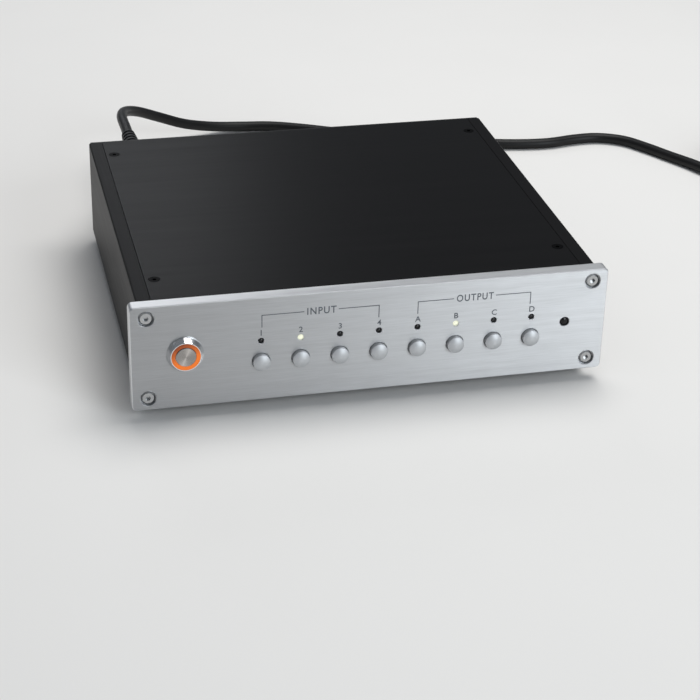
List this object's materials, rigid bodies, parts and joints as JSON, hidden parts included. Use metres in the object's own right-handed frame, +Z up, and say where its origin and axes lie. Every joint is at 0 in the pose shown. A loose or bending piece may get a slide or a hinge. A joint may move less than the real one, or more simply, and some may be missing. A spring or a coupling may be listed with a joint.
{
  "type": "audio source selector",
  "caption": "Flat desktop audio selector: thick silver front plate with round push buttons, indicator lamps and a ring-lit power switch, phono jacks and a mains inlet behind",
  "frame": {"origin": "centre of the outline, at the level of the feet's undersides", "axes": "+X to the right of someone facing the front plate, +Y from the front plate to the rear panel, +Z up"},
  "size_m": [0.5013, 0.3818, 0.064],
  "materials": {
    "silver_aluminium": "brushed along X and clear anodised",
    "black_aluminium": "black anodised, finely brushed",
    "bright_steel": "bright zinc plated",
    "black_steel": "black oxide",
    "polished_metal": "mirror polished",
    "spun_metal": "turned, concentric grain",
    "orange_light": "translucent, lit from behind",
    "plated_brass": "nickel plated",
    "gold_plate": "gold plated",
    "white_plastic": "moulded, semi-gloss",
    "red_plastic": "moulded, semi-gloss",
    "warm_lamp": "clear lens, lit",
    "clear_lamp": "clear lens, unlit",
    "dark_window": "dark infra-red filter, glossy",
    "board_green": "solder masked laminate",
    "black_plastic": "moulded, fine grain",
    "potted_coil": "potted block, satin",
    "capacitor_sleeve": "shrink sleeve",
    "ribbon_grey": "flat ribbed sheath",
    "wire_brown": "smooth sheath",
    "fuse_glass": "clear tube with plated caps",
    "foot_rubber": "matt moulded rubber",
    "black_cord": "matt moulded sheath",
    "black_tie": "thin flat strap"
  },
  "bodies": {
    "case": {"front_panel": "silver_aluminium", "left_side_panel": "black_aluminium", "right_side_panel": "black_aluminium", "top_cover": "black_aluminium", "bottom_plate": "black_aluminium", "rear_panel": "black_aluminium", "front_panel_screws": "bright_steel", "board_screws": "bright_steel", "foot_screws": "bright_steel", "standoffs": "bright_steel", "top_cover_screws": "black_steel", "bottom_plate_screws": "black_steel", "rear_panel_screws": "black_steel", "inlet_screws": "black_steel", "power_switch_body": "polished_metal", "power_switch_ring": "orange_light", "power_switch_nut": "plated_brass", "inlet_pins": "plated_brass", "jack_nuts": "plated_brass", "left_jack_shells": "gold_plate", "right_jack_shells": "gold_plate", "jack_contacts": "gold_plate", "left_jack_washers": "white_plastic", "left_jack_insulators": "white_plastic", "right_jack_washers": "red_plastic", "right_jack_insulators": "red_plastic", "lit_lamps": "warm_lamp", "unlit_lamps": "clear_lamp", "ir_window": "dark_window", "control_board": "board_green", "relay_board": "board_green", "power_board": "board_green", "tact_switches": "black_plastic", "ir_receiver": "black_plastic", "inlet_body": "black_plastic", "relays": "black_plastic", "transformer": "potted_coil", "capacitors": "capacitor_sleeve", "ribbon_cable": "ribbon_grey", "mains_wires": "wire_brown", "feet": "foot_rubber"},
    "input_key_1": {"input_button_1": "silver_aluminium"},
    "input_key_2": {"input_button_2": "silver_aluminium"},
    "input_key_3": {"input_button_3": "silver_aluminium"},
    "input_key_4": {"input_button_4": "silver_aluminium"},
    "output_key_a": {"output_button_a": "silver_aluminium"},
    "output_key_b": {"output_button_b": "silver_aluminium"},
    "output_key_c": {"output_button_c": "silver_aluminium"},
    "output_key_d": {"output_button_d": "silver_aluminium"},
    "power_key": {"power_switch_cap": "spun_metal"},
    "fuse_tray": {"fuse_drawer": "black_plastic", "fuse": "fuse_glass"},
    "mains_lead": {"lead_connector": "black_cord", "mains_cord": "black_cord", "cord_coil": "black_cord", "cord_tie": "black_tie", "mains_plug": "black_cord", "plug_pins": "plated_brass"}
  },
  "joints": [
    {"name": "input_key_1_press", "type": "slide", "parent": "case", "child": "input_key_1", "axis": [0, 1, 0], "range_m": [0, 0.0005], "stiffness_N_per_m": 1200, "springref_m": -0.0005},
    {"name": "input_key_2_press", "type": "slide", "parent": "case", "child": "input_key_2", "axis": [0, 1, 0], "range_m": [0, 0.0005], "stiffness_N_per_m": 1200, "springref_m": -0.0005},
    {"name": "input_key_3_press", "type": "slide", "parent": "case", "child": "input_key_3", "axis": [0, 1, 0], "range_m": [0, 0.0005], "stiffness_N_per_m": 1200, "springref_m": -0.0005},
    {"name": "input_key_4_press", "type": "slide", "parent": "case", "child": "input_key_4", "axis": [0, 1, 0], "range_m": [0, 0.0005], "stiffness_N_per_m": 1200, "springref_m": -0.0005},
    {"name": "output_key_a_press", "type": "slide", "parent": "case", "child": "output_key_a", "axis": [0, 1, 0], "range_m": [0, 0.0005], "stiffness_N_per_m": 1200, "springref_m": -0.0005},
    {"name": "output_key_b_press", "type": "slide", "parent": "case", "child": "output_key_b", "axis": [0, 1, 0], "range_m": [0, 0.0005], "stiffness_N_per_m": 1200, "springref_m": -0.0005},
    {"name": "output_key_c_press", "type": "slide", "parent": "case", "child": "output_key_c", "axis": [0, 1, 0], "range_m": [0, 0.0005], "stiffness_N_per_m": 1200, "springref_m": -0.0005},
    {"name": "output_key_d_press", "type": "slide", "parent": "case", "child": "output_key_d", "axis": [0, 1, 0], "range_m": [0, 0.0005], "stiffness_N_per_m": 1200, "springref_m": -0.0005},
    {"name": "power_key_press", "type": "slide", "parent": "case", "child": "power_key", "axis": [0, 1, 0], "range_m": [0, 0.0025], "stiffness_N_per_m": 500, "springref_m": -0.001},
    {"name": "fuse_tray_pull", "type": "slide", "parent": "case", "child": "fuse_tray", "axis": [0, 1, 0], "range_m": [0, 0.018]},
    {"name": "mains_lead_pull", "type": "slide", "parent": "case", "child": "mains_lead", "axis": [0, 1, 0], "range_m": [0, 0.022]}
  ]
}
